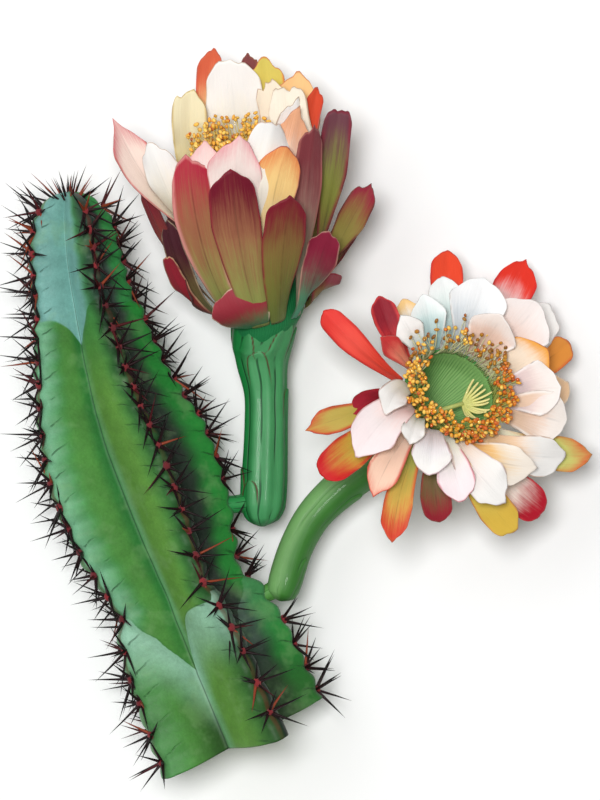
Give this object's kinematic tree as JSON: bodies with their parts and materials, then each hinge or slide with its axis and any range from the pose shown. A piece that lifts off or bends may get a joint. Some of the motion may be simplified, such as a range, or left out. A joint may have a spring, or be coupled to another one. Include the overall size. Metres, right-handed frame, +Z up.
{
  "type": "cut flowering cereus cactus stem",
  "caption": "Cut ribbed columnar cactus stem with spines, lying down, with a cup-shaped side flower and a wide open flower on curved green tubes.",
  "frame": {"origin": "middle of the outline, on the surface that the stem lies on", "axes": "+Z up from the surface, +Y along the stem towards its growing tip, +X towards the side that the flowers stand on"},
  "size_m": [0.2756, 0.3378, 0.1034],
  "materials": {
    "stem": "satin",
    "side_flower_tube": "satin",
    "side_flower_outer_tepals": "satin",
    "side_flower_inner_petals": "satin",
    "side_flower_stamens": "matte",
    "side_flower_style": "matte",
    "open_flower_tube": "satin",
    "open_flower_outer_tepals": "satin",
    "open_flower_inner_petals": "satin",
    "open_flower_stamens": "matte",
    "open_flower_style": "matte"
  },
  "bodies": {
    "root": {"stem": "stem", "side_flower_tube": "side_flower_tube", "side_flower_outer_tepals": "side_flower_outer_tepals", "side_flower_inner_petals": "side_flower_inner_petals", "side_flower_stamens": "side_flower_stamens", "side_flower_style": "side_flower_style", "open_flower_tube": "open_flower_tube", "open_flower_outer_tepals": "open_flower_outer_tepals", "open_flower_inner_petals": "open_flower_inner_petals", "open_flower_stamens": "open_flower_stamens", "open_flower_style": "open_flower_style"}
  },
  "joints": []
}
